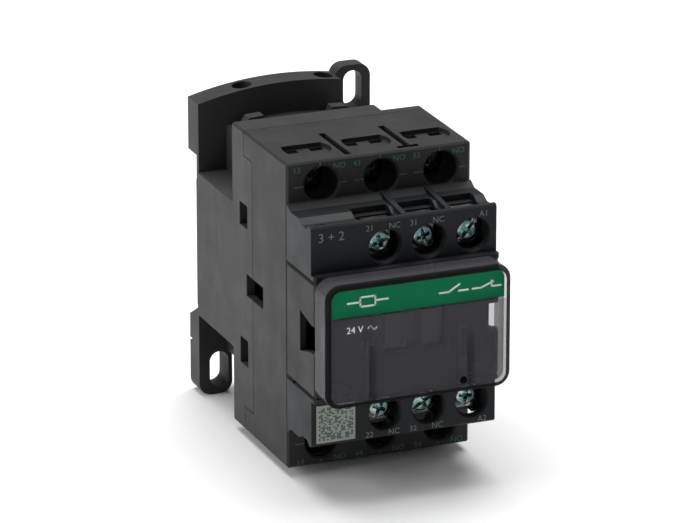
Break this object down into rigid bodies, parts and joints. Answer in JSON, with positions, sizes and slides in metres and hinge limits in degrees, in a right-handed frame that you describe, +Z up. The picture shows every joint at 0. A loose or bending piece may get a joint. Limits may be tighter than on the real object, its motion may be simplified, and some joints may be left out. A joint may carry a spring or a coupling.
{
  "type": "rail mounted control contactor",
  "caption": "Small rail or panel mounted contactor with screw terminals, a coil, bridging contacts, a clear front cover and mounting ears.",
  "frame": {"origin": "centre of the face of the magnet box that rests on the 35 mm rail", "axes": "+X to the right seen from the front, +Y to the panel behind, +Z up; the terminals face -Y"},
  "size_m": [0.045, 0.0859, 0.077],
  "materials": {
    "dark_case": "fine moulded grain",
    "front_case": "fine moulded grain",
    "label_grey": "printed foil",
    "former_black": "moulded",
    "enamelled_wire": "enamelled copper",
    "core_steel": "ground laminations",
    "copper": "bare copper",
    "cushion": "rubber",
    "contact_brass": "rolled brass",
    "tinned": "tinned",
    "carrier_plastic": "moulded",
    "spring_steel": "drawn wire",
    "clip_plastic": "moulded",
    "clear_cover": "smoked clear plastic",
    "green_band": "printed under the cover",
    "zinc_screw": "zinc plated",
    "zinc_clamp": "zinc plated"
  },
  "bodies": {
    "casing": {"rear_housing": "dark_case", "main_housing": "dark_case", "front_block": "front_case", "centre_frame": "front_case", "data_label": "label_grey", "coil_former": "former_black", "coil_winding": "enamelled_wire", "fixed_core": "core_steel", "shading_rings": "copper", "core_cushion": "cushion", "contact_13": "contact_brass", "contact_14": "contact_brass", "contact_43": "contact_brass", "contact_44": "contact_brass", "contact_53": "contact_brass", "contact_54": "contact_brass", "contact_21": "contact_brass", "contact_22": "contact_brass", "contact_31": "contact_brass", "contact_32": "contact_brass", "terminal_a1": "tinned", "terminal_a2": "tinned", "return_springs": "spring_steel", "clip_spring": "spring_steel"},
    "carrier": {"carrier": "carrier_plastic", "armature": "core_steel", "no_contact_springs": "spring_steel", "nc_contact_springs": "spring_steel"},
    "rail_clip": {"rail_clip": "clip_plastic"},
    "front_cover": {"front_cover": "clear_cover", "cover_band": "green_band"},
    "bridge_13": {"bridge_13": "contact_brass"},
    "bridge_43": {"bridge_43": "contact_brass"},
    "bridge_53": {"bridge_53": "contact_brass"},
    "bridge_21": {"bridge_21": "contact_brass"},
    "bridge_31": {"bridge_31": "contact_brass"},
    "clamp_13": {"clamp_13": "zinc_clamp"},
    "screw_13": {"screw_13": "zinc_screw"},
    "clamp_14": {"clamp_14": "zinc_clamp"},
    "screw_14": {"screw_14": "zinc_screw"},
    "clamp_43": {"clamp_43": "zinc_clamp"},
    "screw_43": {"screw_43": "zinc_screw"},
    "clamp_44": {"clamp_44": "zinc_clamp"},
    "screw_44": {"screw_44": "zinc_screw"},
    "clamp_53": {"clamp_53": "zinc_clamp"},
    "screw_53": {"screw_53": "zinc_screw"},
    "clamp_54": {"clamp_54": "zinc_clamp"},
    "screw_54": {"screw_54": "zinc_screw"},
    "clamp_21": {"clamp_21": "zinc_clamp"},
    "screw_21": {"screw_21": "zinc_screw"},
    "clamp_22": {"clamp_22": "zinc_clamp"},
    "screw_22": {"screw_22": "zinc_screw"},
    "clamp_31": {"clamp_31": "zinc_clamp"},
    "screw_31": {"screw_31": "zinc_screw"},
    "clamp_32": {"clamp_32": "zinc_clamp"},
    "screw_32": {"screw_32": "zinc_screw"},
    "clamp_a1": {"clamp_a1": "zinc_clamp"},
    "screw_a1": {"screw_a1": "zinc_screw"},
    "clamp_a2": {"clamp_a2": "zinc_clamp"},
    "screw_a2": {"screw_a2": "zinc_screw"}
  },
  "joints": [
    {"name": "carrier_slide", "type": "slide", "parent": "casing", "child": "carrier", "axis": [0, 1, 0], "range_m": [0, 0.004], "stiffness_N_per_m": 600, "springref_m": -0.008, "deforming": ["return_springs", "no_contact_springs", "nc_contact_springs"]},
    {"name": "bridge_13_slide", "type": "slide", "parent": "casing", "child": "bridge_13", "axis": [0, 1, 0], "range_m": [0, 0.003]},
    {"name": "bridge_43_slide", "type": "slide", "parent": "casing", "child": "bridge_43", "axis": [0, 1, 0], "range_m": [0, 0.003]},
    {"name": "bridge_53_slide", "type": "slide", "parent": "casing", "child": "bridge_53", "axis": [0, 1, 0], "range_m": [0, 0.003]},
    {"name": "bridge_21_slide", "type": "slide", "parent": "casing", "child": "bridge_21", "axis": [0, 1, 0], "range_m": [0, 0.003]},
    {"name": "bridge_31_slide", "type": "slide", "parent": "casing", "child": "bridge_31", "axis": [0, 1, 0], "range_m": [0, 0.003]},
    {"name": "rail_clip_slide", "type": "slide", "parent": "casing", "child": "rail_clip", "axis": [0, 0, -1], "range_m": [0, 0.003], "stiffness_N_per_m": 1500, "springref_m": -0.004, "deforming": ["clip_spring"]},
    {"name": "front_cover_slide", "type": "slide", "parent": "casing", "child": "front_cover", "axis": [0, -1, 0], "range_m": [0, 0.012]},
    {"name": "clamp_13_lift", "type": "slide", "parent": "casing", "child": "clamp_13", "axis": [0, -1, 0], "range_m": [0, 0.0024]},
    {"name": "screw_13_turn", "type": "hinge", "parent": "clamp_13", "child": "screw_13", "pos_m": [-0.01395, -0.0461, 0.0308], "axis": [0, -1, 0], "range_deg": [0, 1440.4]},
    {"name": "clamp_14_lift", "type": "slide", "parent": "casing", "child": "clamp_14", "axis": [0, -1, 0], "range_m": [0, 0.0024]},
    {"name": "screw_14_turn", "type": "hinge", "parent": "clamp_14", "child": "screw_14", "pos_m": [-0.01395, -0.0461, -0.0308], "axis": [0, -1, 0], "range_deg": [0, 1440.4]},
    {"name": "clamp_43_lift", "type": "slide", "parent": "casing", "child": "clamp_43", "axis": [0, -1, 0], "range_m": [0, 0.0024]},
    {"name": "screw_43_turn", "type": "hinge", "parent": "clamp_43", "child": "screw_43", "pos_m": [0.0006, -0.0461, 0.0308], "axis": [0, -1, 0], "range_deg": [0, 1440.4]},
    {"name": "clamp_44_lift", "type": "slide", "parent": "casing", "child": "clamp_44", "axis": [0, -1, 0], "range_m": [0, 0.0024]},
    {"name": "screw_44_turn", "type": "hinge", "parent": "clamp_44", "child": "screw_44", "pos_m": [0.0006, -0.0461, -0.0308], "axis": [0, -1, 0], "range_deg": [0, 1440.4]},
    {"name": "clamp_53_lift", "type": "slide", "parent": "casing", "child": "clamp_53", "axis": [0, -1, 0], "range_m": [0, 0.0024]},
    {"name": "screw_53_turn", "type": "hinge", "parent": "clamp_53", "child": "screw_53", "pos_m": [0.01515, -0.0461, 0.0308], "axis": [0, -1, 0], "range_deg": [0, 1440.4]},
    {"name": "clamp_54_lift", "type": "slide", "parent": "casing", "child": "clamp_54", "axis": [0, -1, 0], "range_m": [0, 0.0024]},
    {"name": "screw_54_turn", "type": "hinge", "parent": "clamp_54", "child": "screw_54", "pos_m": [0.01515, -0.0461, -0.0308], "axis": [0, -1, 0], "range_deg": [0, 1440.4]},
    {"name": "clamp_21_lift", "type": "slide", "parent": "casing", "child": "clamp_21", "axis": [0, -1, 0], "range_m": [0, 0.0021]},
    {"name": "screw_21_turn", "type": "hinge", "parent": "clamp_21", "child": "screw_21", "pos_m": [-0.00455, -0.0663, 0.0195], "axis": [0, -1, 0], "range_deg": [0, 1260.4]},
    {"name": "clamp_22_lift", "type": "slide", "parent": "casing", "child": "clamp_22", "axis": [0, -1, 0], "range_m": [0, 0.0021]},
    {"name": "screw_22_turn", "type": "hinge", "parent": "clamp_22", "child": "screw_22", "pos_m": [-0.00455, -0.0663, -0.0202], "axis": [0, -1, 0], "range_deg": [0, 1260.4]},
    {"name": "clamp_31_lift", "type": "slide", "parent": "casing", "child": "clamp_31", "axis": [0, -1, 0], "range_m": [0, 0.0021]},
    {"name": "screw_31_turn", "type": "hinge", "parent": "clamp_31", "child": "screw_31", "pos_m": [0.0061, -0.0663, 0.0195], "axis": [0, -1, 0], "range_deg": [0, 1260.4]},
    {"name": "clamp_32_lift", "type": "slide", "parent": "casing", "child": "clamp_32", "axis": [0, -1, 0], "range_m": [0, 0.0021]},
    {"name": "screw_32_turn", "type": "hinge", "parent": "clamp_32", "child": "screw_32", "pos_m": [0.0061, -0.0663, -0.0202], "axis": [0, -1, 0], "range_deg": [0, 1260.4]},
    {"name": "clamp_a1_lift", "type": "slide", "parent": "casing", "child": "clamp_a1", "axis": [0, -1, 0], "range_m": [0, 0.0021]},
    {"name": "screw_a1_turn", "type": "hinge", "parent": "clamp_a1", "child": "screw_a1", "pos_m": [0.01675, -0.0663, 0.0195], "axis": [0, -1, 0], "range_deg": [0, 1260.4]},
    {"name": "clamp_a2_lift", "type": "slide", "parent": "casing", "child": "clamp_a2", "axis": [0, -1, 0], "range_m": [0, 0.0021]},
    {"name": "screw_a2_turn", "type": "hinge", "parent": "clamp_a2", "child": "screw_a2", "pos_m": [0.01675, -0.0663, -0.0202], "axis": [0, -1, 0], "range_deg": [0, 1260.4]}
  ],
  "couplings": [
    {"joint": "bridge_13_slide", "follows": "carrier_slide", "ratio": 0.75},
    {"joint": "bridge_43_slide", "follows": "carrier_slide", "ratio": 0.75},
    {"joint": "bridge_53_slide", "follows": "carrier_slide", "ratio": 0.75},
    {"joint": "bridge_21_slide", "follows": "carrier_slide", "ratio": 0.75},
    {"joint": "bridge_31_slide", "follows": "carrier_slide", "ratio": 0.75},
    {"joint": "screw_13_turn", "follows": "clamp_13_lift", "rad_per_m": 10472},
    {"joint": "screw_14_turn", "follows": "clamp_14_lift", "rad_per_m": 10472},
    {"joint": "screw_43_turn", "follows": "clamp_43_lift", "rad_per_m": 10472},
    {"joint": "screw_44_turn", "follows": "clamp_44_lift", "rad_per_m": 10472},
    {"joint": "screw_53_turn", "follows": "clamp_53_lift", "rad_per_m": 10472},
    {"joint": "screw_54_turn", "follows": "clamp_54_lift", "rad_per_m": 10472},
    {"joint": "screw_21_turn", "follows": "clamp_21_lift", "rad_per_m": 10472},
    {"joint": "screw_22_turn", "follows": "clamp_22_lift", "rad_per_m": 10472},
    {"joint": "screw_31_turn", "follows": "clamp_31_lift", "rad_per_m": 10472},
    {"joint": "screw_32_turn", "follows": "clamp_32_lift", "rad_per_m": 10472},
    {"joint": "screw_a1_turn", "follows": "clamp_a1_lift", "rad_per_m": 10472},
    {"joint": "screw_a2_turn", "follows": "clamp_a2_lift", "rad_per_m": 10472}
  ]
}
